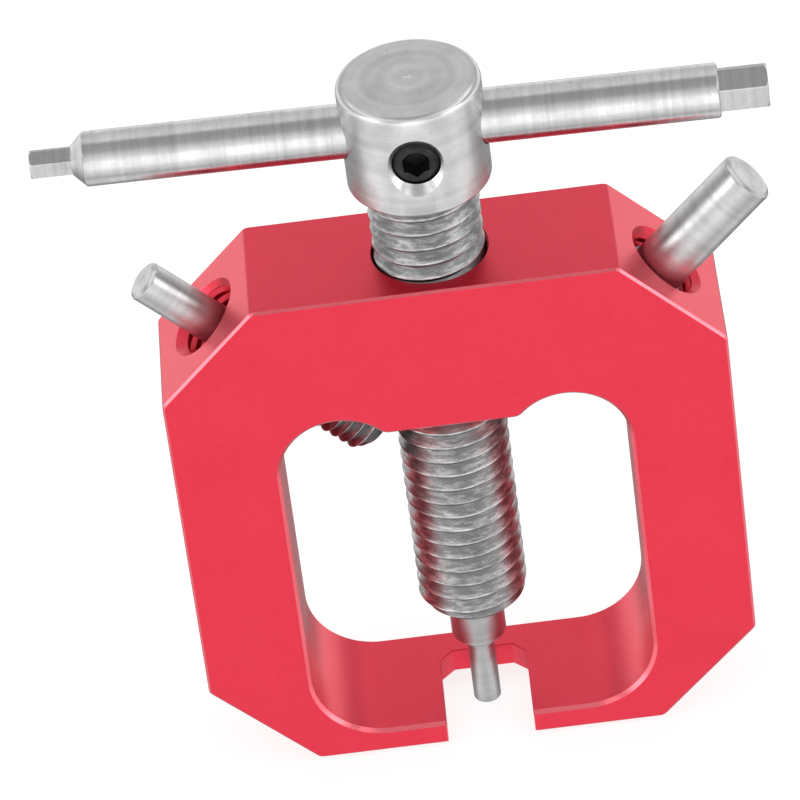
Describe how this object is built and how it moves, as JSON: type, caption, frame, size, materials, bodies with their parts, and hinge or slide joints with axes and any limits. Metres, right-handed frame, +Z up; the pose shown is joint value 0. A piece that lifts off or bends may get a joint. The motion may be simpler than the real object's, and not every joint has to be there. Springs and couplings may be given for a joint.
{
  "type": "pinion gear puller",
  "caption": "Octagonal frame with a T-handled pressure screw that drives a stepped pin to press a pinion off a motor shaft, and spare pins kept in its upper corners.",
  "frame": {"origin": "the pressure screw's axis where it meets the plane of the foot's underside", "axes": "+Z up along the pressure screw towards its head, +X along the frame's width towards the large hex key, -Y towards the front where the foot's slot opens"},
  "size_m": [0.0514, 0.0106, 0.0555],
  "materials": {
    "anodised_red": "satin red anodised",
    "turned_steel": "turned",
    "ground_steel": "ground bright",
    "pin_steel": "satin",
    "black_oxide": "black oxide"
  },
  "bodies": {
    "frame": {"frame": "anodised_red"},
    "pin_in_use": {"push_pin": "pin_steel"},
    "screw": {"pressure_screw": "turned_steel"},
    "handle": {"tee_bar": "ground_steel"},
    "clamp_screw": {"grub_screw": "black_oxide"},
    "spare_small": {"spare_pin_small": "pin_steel"},
    "spare_large": {"spare_pin_large": "pin_steel"}
  },
  "joints": [
    {"name": "screw_feed", "type": "slide", "parent": "frame", "child": "pin_in_use", "axis": [0, 0, 1], "range_m": [-0.002, 0.019]},
    {"name": "screw_turn", "type": "hinge", "parent": "pin_in_use", "child": "screw", "pos_m": [0, 0, 0.03], "axis": [0, 0, 1], "range_deg": [-576, 5472]},
    {"name": "bar_slide", "type": "slide", "parent": "screw", "child": "handle", "axis": [0.9997, -0.0262, 0], "range_m": [-0.016, 0.0175]},
    {"name": "grub_out", "type": "slide", "parent": "screw", "child": "clamp_screw", "axis": [-0.0262, -0.9997, 0], "range_m": [0, 0.0021]},
    {"name": "spare_small_out", "type": "slide", "parent": "frame", "child": "spare_small", "axis": [-0.7071, 0, 0.7071], "range_m": [0, 0.0064]},
    {"name": "spare_large_out", "type": "slide", "parent": "frame", "child": "spare_large", "axis": [0.7071, 0, 0.7071], "range_m": [0, 0.0032]}
  ],
  "couplings": [
    {"joint": "screw_feed", "follows": "screw_turn", "m_per_rad": 0.00019894}
  ]
}
